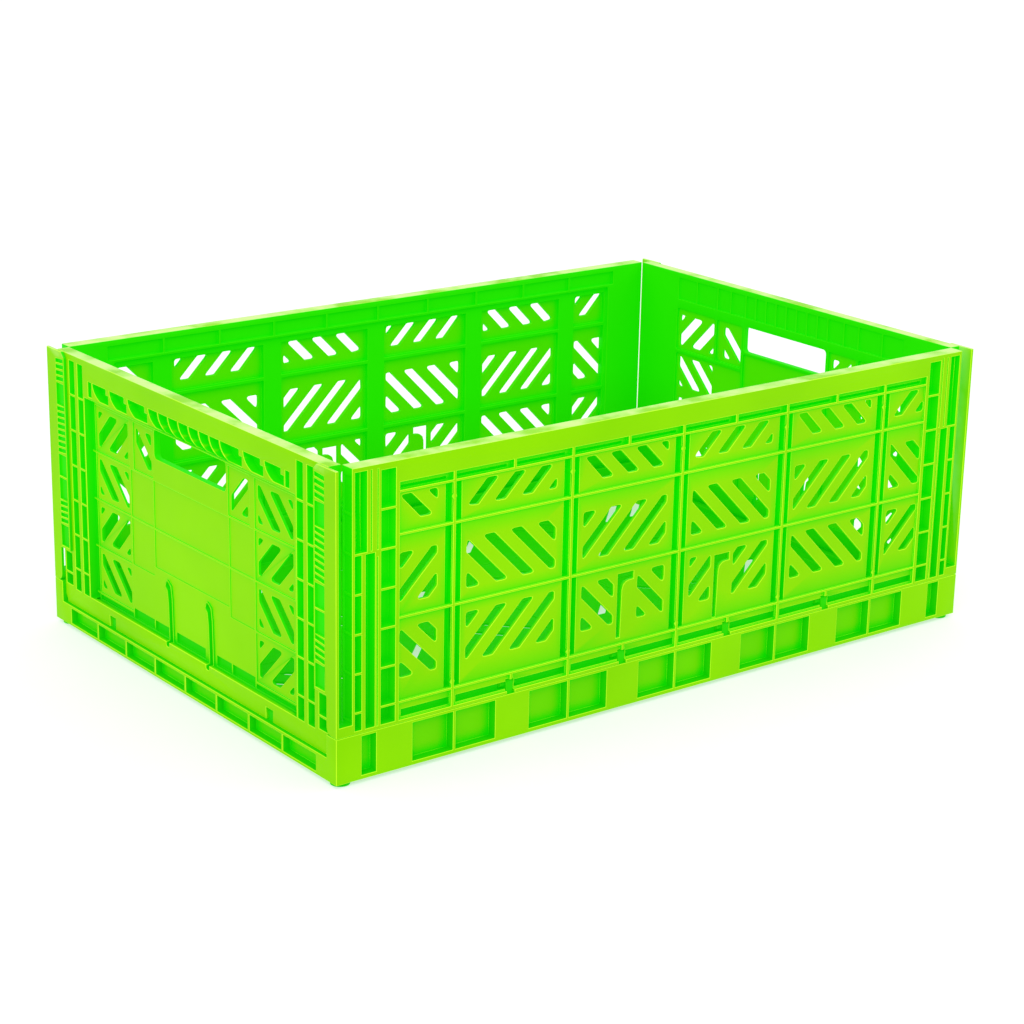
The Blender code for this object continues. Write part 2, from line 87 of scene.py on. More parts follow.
# Base tray levels.
FOOT_HEIGHT = 3.0
BASE_TOP = LONG_BOTTOM - GAP
END_SILL_TOP = END_BOTTOM - GAP
FLOOR_TOP = 15.0
FLOOR_THICKNESS = 3.0

# Long wall corners.
RETURN_THICKNESS = round(LENGTH / 2 - END_OUTER_X - GAP, 2)
RETURN_BOTTOM = 65.0
RETURN_TOP = HEIGHT
COMB_REACH = 14.0
COMB_DEPTH = 1.6
COMB_BAY = 19.0
COMB_TEETH = 4
DENSE_BAYS = [False, True, False, False, True, True, False, True]
CORNER_SLOT = (END_OUTER_X - END_THICKNESS - GAP, LENGTH / 2 - RETURN_THICKNESS)
EDGE_LADDER_BOTTOM = 66.0
EDGE_LADDER_DEPTH = 1.8
CORNER_BRIDGE_TOP = LONG_HINGE_HEIGHT + 1.5
RELIEF_DEPTH = 0.9
RETURN_CHAMFER = 4.0
COMB_LEAN = 1.0

# Lattice of the long wall.
COLUMN_PITCH = 102.0
COLUMN_LINES = [-2 * COLUMN_PITCH, -COLUMN_PITCH, 0.0, COLUMN_PITCH, 2 * COLUMN_PITCH]
LATTICE_HALF = 249.0
ROW_LINES = [202.0, 172.0, 113.0, 52.0]
ROW_SLOTS = [(181.0, 199.0), (122.5, 158.5), (69.0, 105.0)]
TILE_DEPTH = 1.5
TILE_BACK = 4.6
GROOVE_DEPTH = 6.4
WEB_BACK = 8.6
RIB = 2.2
THIN_RIB = 1.6
GROOVE_WIDTH = 5.6
SLOT_MARGIN = 13.0
BAND_BOTTOM = 208.5

# Strips over the lattice and sills under it, with a deeper trough in each.
STRIP_DEPTH = 3.2
TROUGH_DEPTH = 6.8
TROUGH_END = 4.0
TROUGH_HEIGHTS = (ROW_LINES[0] + 1.1, ROW_LINES[0] + 3.2)
SILL_DEPTH = 2.2
SILL_BOTTOM = LONG_BOTTOM + 2.2
SILL_TROUGH_DEPTH = 5.8
SILL_TROUGH_END = 3.0
SILL_TROUGH_HEIGHTS = (LONG_BOTTOM + 3.4, ROW_LINES[-1] - 6.4)
BOSS_RADIUS = 2.0
BOSS_SIDES = 16
BOSS_FACE = 0.5
BOSS_HEIGHTS = (ROW_LINES[0] - 11.0, ROW_LINES[-1] + 5.0)
RIM_POCKET_DEPTH = 2.6

# Posts at the ends of a long wall: left and right edges of what they carry. Their pattern changes at
# one height, and low and high mean below it and above it.
POST_HEIGHTS = (LONG_BOTTOM + 2.4, HEIGHT - 3.2)
POST_LADDER = (252.2, 264.0)
LOW_LADDER = (279.6, 285.0)
LOW_GROOVE = (268.8, 276.4)
LOW_LINE = (266.4, 267.2)
HIGH_RECESS = (275.2, 285.0)
HIGH_FINS = [(278.2, 279.2), (282.2, 283.2)]
HIGH_LINES = [(266.2, 267.0), (271.4, 272.2)]
FIN_FACE = 3.0
POST_LINE_DEPTH = 0.9

# Spring tongues of the long wall: the left and bottom of each hooked slit, by lattice column.
SPRING_SLITS = {2: (-57.0, 57.0), 3: (36.0, 53.5)}
SPRING_SLIT_WIDTH = 15.0
SPRING_SLIT_HEIGHT = 49.0
SPRING_CLEARANCE = 3.5

# Diagonal slots.
SLOT_WIDTH = 7.4
SLOT_PITCH = 16.6
END_SLOT_WIDTH = 8.8
SLOT_SHIFT = -1.5
SLOT_ROUND = 2.8
ROUND_STEPS = 4
ROUND_SHARE = 0.42
SHORTEST_SIDE = 1.2
CLOSEST_POINTS = 0.06
SLOTS_EACH_WAY = 4
THINNEST_REST = 3.0
SLIMMEST_SLOT = 4.0

# Ladders of pockets.
RUNG_PITCH = 28.0
FIRST_POCKET = 6.0
LAST_POCKET = 3.0
LADDER_DEPTH = 8.6

# End wall.
HANDLE = (-50.0, 50.0, 170.0, 192.5)
HANDLE_POCKETS = 7
END_COLUMN = (88.0, 138.6)
END_SIDE_CELL = (55.0, 79.0)
END_ROWS = [191.0, 153.2, 115.4, 77.6, 39.8]
END_FIELD = (139.8, 34.5, 194.6)
END_FIELD_DEPTH = 4.8
END_TILE_DEPTH = 5.6
END_SKIN_BACK = 7.8
END_GROOVE = (139.6, 146.8)
END_LADDERS = [(148.6, 156.6), (161.6, 169.8)]
POCKET_LINES = [50.0, 80.5, 108.0, 134.0, 140.0]
POCKET_BOTTOM = 196.8
POCKET_SWEEP = 11.0
POCKET_SWEEP_ANGLE = math.radians(60)
POCKET_SWEEP_STEPS = 7
END_POCKET_DEPTH = 7.4
PANEL_DEPTH = END_FIELD_DEPTH + 0.7
SIDE_PANEL = (54.0, 85.6)
MIDDLE_PANEL = (-52.0, 52.0)
TONGUE_X = 28.5
GUTTER_TOP = 43.0
GUTTER_DEPTH = 6.6
COLLAR_WIDTH = 1.1
COLLAR_HEIGHT = 1.3
END_SLOT_BELOW = 5.1
END_SLOT_ABOVE = 5.3
END_RIM_LINES = [0.0, 12.5, 25.0, 37.5, 50.0, 69.0, 86.0, 113.0, 138.0]
END_RIM_POCKET_DEPTH = 1.6

# Hinges.
PIN_RADIUS = 2.0
BORE_RADIUS = 3.0
PIN_REACH = 3.7
LONG_LUGS = [-153.0, -51.0, 51.0, 153.0]
END_LUGS = [-112.0, 112.0]
LONG_LUG_WIDTH = 6.0
LONG_LUG_RADIUS = 4.0
END_LUG_WIDTH = 8.0
END_LUG_RADIUS = 3.5
NOTCH_CLEARANCE = 0.5
LUG_ROOT = 5.0
LUG_STEPS = 12
FOLD_STEPS = 6

# Base tray side band.
BASE_BLOCK_PITCH = 101.0
BASE_BLOCK_HALF = 15.0
CORNER_BLOCK = 20.5
CORNER_RECESS = 12.0
SIDE_BAND_DEPTH = 7.5
END_BAND_DEPTH = 6.0
END_BAND_PITCH = 44.0

# Floor and feet of the base tray.
FLOOR_COLUMNS = 6
FLOOR_ROWS = 4
FLOOR_HALF = (276.0, 180.0)
FLOOR_HALF_RIB = 4.0
FLOOR_EDGE = 8.5
DRAIN_SHIFT = 14.0
DRAIN_REACH = 18.0
DRAIN_HALF_WIDTH = 4.0
DRAIN_ROUND = 2.4
FOOT_RADIUS = 7.0
FOOT_INSET = 9.0

# Rounded edge that every moulding has.
EDGE_ROUND = 0.38

# Plastic on open faces and on their rounded edges: colour, glow and roughness. The glow is a painted glow,
# and the edges' paler colour and stronger glow are a painted highlight.
FACE_PLASTIC = ((0.225, 0.36, 0.0), (0.0, 0.34, 0.0), 0.42)
EDGE_HIGHLIGHT_PLASTIC = ((0.46, 0.55, 0.02), (0.06, 0.42, 0.0), 0.35)

# Painted shade: the plastic's colour and glow in recesses and inside the crate, how near other faces have to
# be to give a recess its painted shade, and how much of the lit colour is left inside the crate.
PAINTED_SHADE_COLOUR = (0.008, 0.36, 0.0)
PAINTED_SHADE_GLOW = (0.0, 0.43, 0.0)
RECESS_REACH = 9.0
RECESS_RANGE = (0.6, 0.9)
INSIDE_LIT_SHARE = 0.08

# Shares of painted shade, and the depths in a wall or in the base where they begin.
PAINTED_SHADE = "inside"
FACING = 0.5
TILE_BACK_SHADE = 0.6
POCKET_FLOOR_SHADE = 0.4
LONG_DEEP = 5.0
END_DEEP = 6.3
SIDE_DEEP = 3.5
ROOM_DEEP = 8.0
POCKET_SIDES = (1.5, 5.0)

# Tops of the rims, which get a painted highlight in patches.
RIM_HIGHLIGHT = "rim"
RIM_HIGHLIGHT_COLOUR = (0.5, 0.62, 0.2)
RIM_HIGHLIGHT_GLOW = (0.1, 0.34, 0.08)
RIM_HEIGHT = 2.0
RIM_UPWARD = 0.4

# Painted shade inside the crate: the glow is full from this height up, and down to this share on the floor.
LIT_ROOM_HEIGHT = 130.0
FLOOR_SHADE = 0.6

# Scale and detail of the plastic's noises.
DRIFT_NOISE = (9.0, 3.0)
HIGHLIGHT_PATCH_NOISE = (38.0, 5.0)
SCUFF_NOISE = (45.0, 6.0)
GRAIN_NOISE = (900.0, 2.0)

# Lamps: place, size and power of each, and what they all point at.
LAMPS = {
    "key_light": ((-1.6, -1.9, 2.6), 2.4, 30),
    "end_light": ((-3.0, 0.4, 1.4), 2.0, 12),
    "fill_light": ((2.4, -1.6, 1.8), 2.4, 16),
}
LAMP_TARGET = (0, 0, 0.1)

# Camera: azimuth, elevation and roll in degrees, place in metres, sensor and lens in millimetres.
CAMERA_ANGLES = (-37.75, 17.8, -1.17)
CAMERA_PLACE = (-1.1542, -1.4900, 0.6948)
CAMERA_SENSOR = 36.0
CAMERA_LENS = 87.84


def add_object(name, data):
    item = bpy.data.objects.new(name, data)
    bpy.context.scene.collection.objects.link(item)
    return item


def evaluated_mesh(item):
    bpy.context.view_layer.update()
    graph = bpy.context.evaluated_depsgraph_get()
    return bpy.data.meshes.new_from_object(item.evaluated_get(graph))


def turn_for(axis):
    """Rotation that lays a flat curve square to the axis it is extruded along."""
    if axis == "x":
        return Matrix(((0, 0, 1, 0), (1, 0, 0, 0), (0, 1, 0, 0), (0, 0, 0, 1)))
    if axis == "y":
        return Matrix(((1, 0, 0, 0), (0, 0, -1, 0), (0, 1, 0, 0), (0, 0, 0, 1)))
    return Matrix.Identity(4)


def extruded(name, outlines, low, high, axis="y"):
    """Solid of flat outlines, from low to high along the axis; inner outlines are holes.

    Its corners are put on whole microns, so that faces meant to be flush are exactly flush.
    """
    curve = bpy.data.curves.new(name, "CURVE")
    curve.dimensions = "2D"
    curve.fill_mode = "BOTH"
    curve.extrude = (high - low) / 2 * MM
    for outline in outlines:
        spline = curve.splines.new("POLY")
        spline.points.add(len(outline) - 1)
        for point, (across, up) in zip(spline.points, outline):
            point.co = (across * MM, up * MM, 0.0, 1.0)
        spline.use_cyclic_u = True
    middle = (low + high) / 2 * MM
    offset = {"x": (middle, 0, 0), "y": (0, middle, 0), "z": (0, 0, middle)}[axis]
    flat = add_object(name, curve)
    flat.matrix_world = Matrix.Translation(offset) @ turn_for(axis)
    mesh = evaluated_mesh(flat)
    work = bmesh.new()
    work.from_mesh(mesh)
    bmesh.ops.remove_doubles(work, verts=work.verts, dist=0.00001)
    bmesh.ops.recalc_face_normals(work, faces=work.faces)
    work.transform(flat.matrix_world)
    for corner in work.verts:
        corner.co = [round(value, MICRON_DIGITS) for value in corner.co]
    work.to_mesh(mesh)
    work.free()
    bpy.data.objects.remove(flat, do_unlink=True)
    return add_object(name, mesh)


def rectangle(left, right, bottom, top):
    return [(left, bottom), (right, bottom), (right, top), (left, top)]


def circle(centre_a, centre_b, radius, sides=24):
    points = []
    for step in range(sides):
        angle = math.tau * (step + 0.5) / sides
        points.append((centre_a + radius * math.cos(angle), centre_b + radius * math.sin(angle)))
    return points


def combine(body, tool, operation="DIFFERENCE"):
    """Boolean the tool into the body and drop the tool."""
    step = body.modifiers.new(operation.lower(), "BOOLEAN")
    step.operation = operation
    step.solver = "EXACT"
    step.object = tool
    mesh = evaluated_mesh(body)
    body.modifiers.clear()
    body.data = mesh
    bpy.data.objects.remove(tool, do_unlink=True)


def clip(points, normal, limit):
    """Part of a convex outline where the point's distance along the normal is under the limit."""
    kept = []
    for here, after in zip(points, points[1:] + points[:1]):
        here_over = here[0] * normal[0] + here[1] * normal[1] - limit
        after_over = after[0] * normal[0] + after[1] * normal[1] - limit
        if here_over <= 0:
            kept.append(here)
        if here_over * after_over < 0:
            share = here_over / (here_over - after_over)
            kept.append((here[0] + share * (after[0] - here[0]), here[1] + share * (after[1] - here[1])))
    return kept


def without_short_sides(points, shortest):
    """Outline without the points that lie very close to the one before."""
    kept = []
    for before, here in zip(points[-1:] + points[:-1], points):
        if math.dist(before, here) > shortest:
            kept.append(here)
    return kept


def rounded(points, radius, steps=ROUND_STEPS):
    """Outline with its corners rounded, each within a set share of its shorter side."""
    result = []
    points = without_short_sides(points, SHORTEST_SIDE)
    for before, here, after in zip(points[-1:] + points[:-1], points, points[1:] + points[:1]):
        corner = Vector(here)
        to_before = Vector(before) - corner
        to_after = Vector(after) - corner
        half_angle = max(to_before.angle(to_after) / 2, 0.1)
        longest = ROUND_SHARE * min(to_before.length, to_after.length)
        reach = min(radius / math.tan(half_angle), longest)
        start = corner + to_before.normalized() * reach
        end = corner + to_after.normalized() * reach
        for step in range(steps + 1):
            share = step / steps
            spot = start * (1 - share) ** 2 + corner * 2 * share * (1 - share) + end * share ** 2
            result.append((spot.x, spot.y))
    return without_short_sides(result, CLOSEST_POINTS)


def diagonal_slots(left, right, bottom, top, rising, shift=SLOT_SHIFT, width=SLOT_WIDTH):
    """Slots at 45 degrees clipped to a cell, rising to the right or falling.

    One of them is off the cell's middle by the shift. A rest of the cell too thin for a rib joins the
    slot beside it.
    """
    slope = -1.0 if rising else 1.0
    normal = (math.sqrt(0.5), slope * math.sqrt(0.5))
    cell = rectangle(left, right, bottom, top)
    across = [x * normal[0] + z * normal[1] for x, z in cell]
    low, high = min(across), max(across)
    first = (low + high) / 2 + shift
    outlines = []
    for step in range(-SLOTS_EACH_WAY, SLOTS_EACH_WAY + 1):
        near = first + step * SLOT_PITCH - width / 2
        far = near + width
        if high - far < THINNEST_REST:
            far = high + OVERCUT
        if near - low < THINNEST_REST:
            near = low - OVERCUT
        if far - SLIMMEST_SLOT < low or near + SLIMMEST_SLOT > high:
            continue
        piece = clip(cell, normal, far)
        piece = clip(piece, (-normal[0], -normal[1]), -near)
        if len(piece) >= 3:
            outlines.append(rounded(piece, SLOT_ROUND))
    return outlines


def wall_slab(name, half_length, bottom, thickness):
    """Plain wall, its lower inner edge rounded about the hinge so that it can fold."""
    radius = thickness / 2
    outline = [(0.0, bottom), (radius, bottom)]
    for step in range(1, FOLD_STEPS + 1):
        angle = math.radians(-90 + 90 * step / FOLD_STEPS)
        outline.append((radius + radius * math.cos(angle), bottom + radius + radius * math.sin(angle)))
    outline += [(thickness, HEIGHT), (0.0, HEIGHT)]
    return extruded(name, [outline], -half_length, half_length, "x")


def ladder(left, right, bottom, top):
    """Pockets between rungs, on the rung heights that all the ladders share."""
    outlines = []
    low = bottom
    rung = ROW_LINES[-1]
    while low < top - LAST_POCKET:
        while rung - low < FIRST_POCKET:
            rung += RUNG_PITCH
        high = min(rung - THIN_RIB / 2, top)
        outlines.append(rectangle(left, right, low, high))
        low = high + THIN_RIB
    return outlines


def both_sides(outlines):
    """The outlines and their mirror images across the wall's middle."""
    return outlines + [[(-x, z) for x, z in reversed(outline)] for outline in outlines]


def long_wall_cells():
    """Cells between the ribs: column, row, left, right, bottom and top of each."""
    lines = [-LATTICE_HALF] + COLUMN_LINES + [LATTICE_HALF]
    cells = []
    for column, (left, right) in enumerate(zip(lines, lines[1:])):
        for row, (top, bottom) in enumerate(zip(ROW_LINES, ROW_LINES[1:])):
            cells.append((column, row, left, right, bottom, top))
    return cells


def spring_slit(corner_x, bottom):
    """Hooked slit beside a spring tongue of the long wall."""
    top = bottom + SPRING_SLIT_HEIGHT
    far = corner_x + SPRING_SLIT_WIDTH
    outer = [(far, top - 6.0), (far, top), (corner_x, top), (corner_x, bottom), (corner_x + 3.5, bottom)]
    inner = [(corner_x + 4.2, top - 13.0), (corner_x + 5.4, top - 9.0), (corner_x + 8.2, top - 6.8),
             (corner_x + 11.0, top - 6.2)]
    return outer + inner


def long_wall_front(wall):
    """Everything that is cut into the outer face of a long wall."""
    half_rib = RIB / 2
    last = len(COLUMN_LINES)
    tiles = []
    grooves = []
    for column, _, left, right, bottom, top in long_wall_cells():
        low = bottom + THIN_RIB / 2
        high = top - THIN_RIB / 2
        inner_left = left + (half_rib if column > 0 else 0.0)
        inner_right = right - (half_rib if column < last else 0.0)
        tiles.append(rectangle(inner_left, inner_right, low, high))
        if column > 0:
            grooves.append(rectangle(inner_left + GAP, inner_left + GROOVE_WIDTH, low + GAP, high - GAP))
        if column < last:
            grooves.append(rectangle(inner_right - GROOVE_WIDTH, inner_right - GAP, low + GAP, high - GAP))
    half_lines = [step * COLUMN_PITCH / 2 for step in range(-4, 5)]
    strip_lines = [-LATTICE_HALF - half_rib] + half_lines + [LATTICE_HALF + half_rib]
    strip_bottom = ROW_LINES[0] + THIN_RIB / 2
    sill_top = ROW_LINES[-1] - THIN_RIB / 2
    strips = []
    troughs = []
    sills = []
    sill_troughs = []
    for left, right in zip(strip_lines, strip_lines[1:]):
        inner_left, inner_right = left + half_rib, right - half_rib
        strips.append(rectangle(inner_left, inner_right, strip_bottom, BAND_BOTTOM))
        troughs.append(rectangle(inner_left + GAP, inner_right - TROUGH_END, *TROUGH_HEIGHTS))
        sills.append(rectangle(inner_left, inner_right, SILL_BOTTOM, sill_top))
        sill_troughs.append(rectangle(inner_left + SILL_TROUGH_END, inner_right - GAP, *SILL_TROUGH_HEIGHTS))
    combine(wall, extruded("tiles", tiles, -OVERCUT, TILE_DEPTH))
    combine(wall, extruded("strips", strips, -OVERCUT, STRIP_DEPTH))
    combine(wall, extruded("troughs", troughs, -OVERCUT, TROUGH_DEPTH))
    combine(wall, extruded("sills", sills, -OVERCUT, SILL_DEPTH))
    combine(wall, extruded("grooves", grooves, -OVERCUT, GROOVE_DEPTH))
    combine(wall, extruded("sill_troughs", sill_troughs, -OVERCUT, SILL_TROUGH_DEPTH))
    bosses = [circle(x, z, BOSS_RADIUS, BOSS_SIDES) for x in COLUMN_LINES for z in BOSS_HEIGHTS]
    combine(wall, extruded("bosses", bosses, BOSS_FACE, GROOVE_DEPTH), "UNION")


def long_wall_posts(wall):
    """Ladders, smooth band and grooves at both ends of a long wall's outer face."""
    low, high = POST_HEIGHTS
    change = ROW_LINES[-1] + 4 * RUNG_PITCH
    below = change - THIN_RIB / 2
    above = change + THIN_RIB / 2
    pockets = ladder(*POST_LADDER, low, high)
    pockets += ladder(*LOW_LADDER, low, below)
    pockets.append(rectangle(*HIGH_RECESS, above, high))
    pockets.append(rectangle(*LOW_GROOVE, low, below))
    combine(wall, extruded("posts", both_sides(pockets), -OVERCUT, LADDER_DEPTH))
    fins = [rectangle(*fin, change, high + 0.5) for fin in HIGH_FINS]
    combine(wall, extruded("fins", both_sides(fins), FIN_FACE, LADDER_DEPTH + 1.0), "UNION")
    lines = [rectangle(*LOW_LINE, low, change - 4.0)]
    lines += [rectangle(*line, change + 1.0, high) for line in HIGH_LINES]
    combine(wall, extruded("post_lines", both_sides(lines), -OVERCUT, POST_LINE_DEPTH))


def long_wall_back(wall):
    """Recesses of a long wall's inner face."""
    half_rib = RIB / 2
    last = len(COLUMN_LINES)
    backs = []
    for column, _, left, right, bottom, top in long_wall_cells():
        back_left = left + (half_rib + GROOVE_WIDTH + 1.6 if column > 0 else 1.5)
        back_right = right - (half_rib + GROOVE_WIDTH + 1.6 if column < last else 1.5)
        backs.append(rectangle(back_left, back_right, bottom + 1.4, top - 1.3))
    web = [rounded(rectangle(-LATTICE_HALF, LATTICE_HALF, ROW_LINES[-1], ROW_LINES[0] + 4.0), 3.0)]
    combine(wall, extruded("web", web, WEB_BACK, LONG_THICKNESS + OVERCUT))
    combine(wall, extruded("backs", backs, TILE_BACK, LONG_THICKNESS + OVERCUT))
    half_lines = [step * COLUMN_PITCH / 2 for step in range(-5, 6)]
    pockets = [rectangle(left + 0.9, right - 0.9, ROW_LINES[0] + 6.0, HEIGHT - 4.5)
               for left, right in zip(half_lines, half_lines[1:])]
    pocket_face = LONG_THICKNESS - RIM_POCKET_DEPTH
    combine(wall, extruded("rim_pockets", pockets, pocket_face, LONG_THICKNESS + OVERCUT))


def long_wall_slots(wall):
    """Lattice slots and the hooked slits of the spring tongues, cut right through."""
    last = len(COLUMN_LINES)
    outlines = [spring_slit(*corner) for corner in SPRING_SLITS.values()]
    for column, row, left, right, _, _ in long_wall_cells():
        slot_left = left + (SLOT_MARGIN - 1.5 if column > 0 else 0.8)
        slot_right = right - (SLOT_MARGIN if column < last else 0.8)
        rising = (column + row) % 2 == 1
        low, high = ROW_SLOTS[row]
        if row == 2 and column in SPRING_SLITS:
            slit_left = SPRING_SLITS[column][0] - SPRING_CLEARANCE
            slit_right = SPRING_SLITS[column][0] + SPRING_SLIT_WIDTH + SPRING_CLEARANCE
            outlines += diagonal_slots(slot_left, slit_left, low, high, rising)
            outlines += diagonal_slots(slit_right, slot_right, low, high, rising)
        else:
            outlines += diagonal_slots(slot_left, slot_right, low, high, rising)
    combine(wall, extruded("slots", outlines, -OVERCUT, LONG_THICKNESS + OVERCUT))


def long_wall_corners(wall):
    """Corner slots, which let the wall fold past an upright end wall, and the return plates."""
    outside = LENGTH / 2 + OVERCUT
    corner = [rectangle(CORNER_SLOT[0], outside, CORNER_BRIDGE_TOP, HEIGHT + OVERCUT)]
    combine(wall, extruded("corner_slots", both_sides(corner), -OVERCUT, LONG_THICKNESS + OVERCUT))
    relief = ladder(1.2, LONG_THICKNESS - 1.4, CORNER_BRIDGE_TOP + 2.0, HEIGHT - 5.8)
    for side in (-1, 1):
        near, far = sorted((side * (CORNER_SLOT[0] - RELIEF_DEPTH), side * (CORNER_SLOT[0] + OVERCUT)))
        combine(wall, extruded("relief", relief, near, far, "x"))
    for side in (-1, 1):
        near, far = sorted((side * CORNER_SLOT[1], side * LENGTH / 2))
        outline = [(0.0, CORNER_BRIDGE_TOP), (LONG_THICKNESS, CORNER_BRIDGE_TOP),
                   (LONG_THICKNESS, RETURN_BOTTOM), (RETURN_REACH, RETURN_BOTTOM),
                   (RETURN_REACH, RETURN_TOP - RETURN_CHAMFER),
                   (RETURN_REACH - RETURN_CHAMFER, RETURN_TOP), (0.0, RETURN_TOP)]
        plate = extruded("return_plate", [outline], near, far, "x")
        near, far = sorted((side * (LENGTH / 2 - COMB_DEPTH), side * (LENGTH / 2 + OVERCUT)))
        combine(plate, extruded("comb", return_comb(), near, far, "x"))
        combine(wall, plate, "UNION")


def return_comb():
    """Recesses of a return plate's comb: bays of close slanted ribs between open bays."""
    outlines = []
    bay = RETURN_BOTTOM + 2.0
    for count, dense in enumerate(DENSE_BAYS):
        low = bay + count * COMB_BAY
        teeth = COMB_TEETH if dense else 1
        pitch = COMB_BAY / teeth
        for tooth in range(teeth):
            bottom = low + tooth * pitch
            top = bottom + pitch - THIN_RIB
            lean = COMB_LEAN if dense else 0.0
            outlines.append([(COMB_REACH, bottom), (RETURN_REACH - THIN_RIB, bottom + lean),
                             (RETURN_REACH - THIN_RIB, top + lean), (COMB_REACH, top)])
    return outlines


def cut_hinge_notches(wall, places, lug_width, lug_radius, thickness, hinge_height):
    """Notches for the base's lugs, each with a bore on both sides for its pins."""
    half = lug_width / 2 + NOTCH_CLEARANCE
    top = hinge_height + lug_radius + NOTCH_CLEARANCE
    notches = [rectangle(place - half, place + half, 0.0, top) for place in places]
    combine(wall, extruded("notches", notches, -OVERCUT, thickness + OVERCUT))
    for place in places:
        reach = half + PIN_REACH + NOTCH_CLEARANCE
        hole = [circle(thickness / 2, hinge_height, BORE_RADIUS)]
        combine(wall, extruded("bore", hole, place - reach, place + reach, "x"))


def long_wall_mesh():
    wall = wall_slab("long_wall", LENGTH / 2, LONG_BOTTOM, LONG_THICKNESS)
    long_wall_front(wall)
    long_wall_posts(wall)
    long_wall_back(wall)
    long_wall_corners(wall)
    long_wall_slots(wall)
    cut_hinge_notches(wall, LONG_LUGS, LONG_LUG_WIDTH, LONG_LUG_RADIUS, LONG_THICKNESS, LONG_HINGE_HEIGHT)
    wall.data.transform(Matrix.Translation((0, -WIDTH / 2 * MM, 0)))
    return wall


def swept_side(x, bottom, top):
    """Side of a pocket that curves over to the right on its way down."""
    last = POCKET_SWEEP_ANGLE
    side = []
    for step in range(POCKET_SWEEP_STEPS + 1):
        angle = last * step / POCKET_SWEEP_STEPS
        shift = POCKET_SWEEP * (1 - math.cos(angle)) / (1 - math.cos(last))
        side.append((x + shift, top - (top - bottom) * math.sin(angle) / math.sin(last)))
    return side


def band_pockets():
    """Pockets under an end wall's rim: narrow ones over the handle and wider ones beside it."""
    half_rib = THIN_RIB / 2
    step = (HANDLE[1] - HANDLE[0]) / HANDLE_POCKETS
    outlines = []
    for count in range(HANDLE_POCKETS):
        left = HANDLE[0] + count * step + half_rib
        right_side = swept_side(left + step - 2 * half_rib, POCKET_BOTTOM, BAND_BOTTOM)
        outlines.append(swept_side(left, POCKET_BOTTOM, BAND_BOTTOM) + right_side[::-1])
    wide = list(zip(POCKET_LINES, POCKET_LINES[1:-1]))
    wide += [(-right, -left) for left, right in wide]
    for left, right in wide:
        inner = right - half_rib
        notch = [(inner, POCKET_BOTTOM), (inner, BAND_BOTTOM - 4.5), (inner - 4.0, BAND_BOTTOM - 4.5),
                 (inner - 4.0, BAND_BOTTOM)]
        outlines.append(swept_side(left + half_rib, POCKET_BOTTOM, BAND_BOTTOM) + notch)
    ends = rectangle(POCKET_LINES[-2] + half_rib, POCKET_LINES[-1], POCKET_BOTTOM, BAND_BOTTOM)
    return outlines + both_sides([ends])


def tongue_slit(x, margin=0.0):
    """Slit beside the end wall's spring tongue, its head hooked to the left."""
    outline = [(x - 2.1 - margin, 31.0 - margin), (x + 2.1 + margin, 31.0 - margin),
               (x + 1.2 + margin, 68.0), (x - 0.4 + margin, 77.0 + margin), (x - 5.4, 80.4 + margin),
               (x - 7.4 - margin, 76.0), (x - 4.6 - margin, 73.0 - margin), (x - 3.2 - margin, 64.0)]
    return rounded(outline, 1.4)


def end_wall_cells():
    """Outlines of an end wall's tiles, and of everything that is cut right through it."""
    half_rib = THIN_RIB / 2
    tiles = []
    slots = [tongue_slit(-TONGUE_X), tongue_slit(TONGUE_X), rounded(rectangle(*HANDLE), 4.0, 6)]
    for side in (-1, 1):
        left, right = sorted((side * END_COLUMN[0], side * END_COLUMN[1]))
        for row, (top, bottom) in enumerate(zip(END_ROWS, END_ROWS[1:])):
            tiles.append(rectangle(left, right, bottom + half_rib, top - half_rib))
            rising = (row % 2 == 0) == (side < 0)
            low, high = bottom + END_SLOT_ABOVE, top - END_SLOT_BELOW
            slots += diagonal_slots(left + 3.0, right - 3.0, low, high, rising,
                                    SLOT_PITCH / 2, END_SLOT_WIDTH)
        left, right = sorted((side * END_SIDE_CELL[0], side * END_SIDE_CELL[1]))
        top, bottom = END_ROWS[:2]
        low, high = bottom + END_SLOT_ABOVE, top - END_SLOT_BELOW
        tiles.append(rectangle(left - 2.0, right + 2.0, bottom + half_rib, top - half_rib))
        slots += diagonal_slots(left + 1.0, right - 1.0, low, high, side > 0, SLOT_SHIFT, END_SLOT_WIDTH)
    return tiles, slots


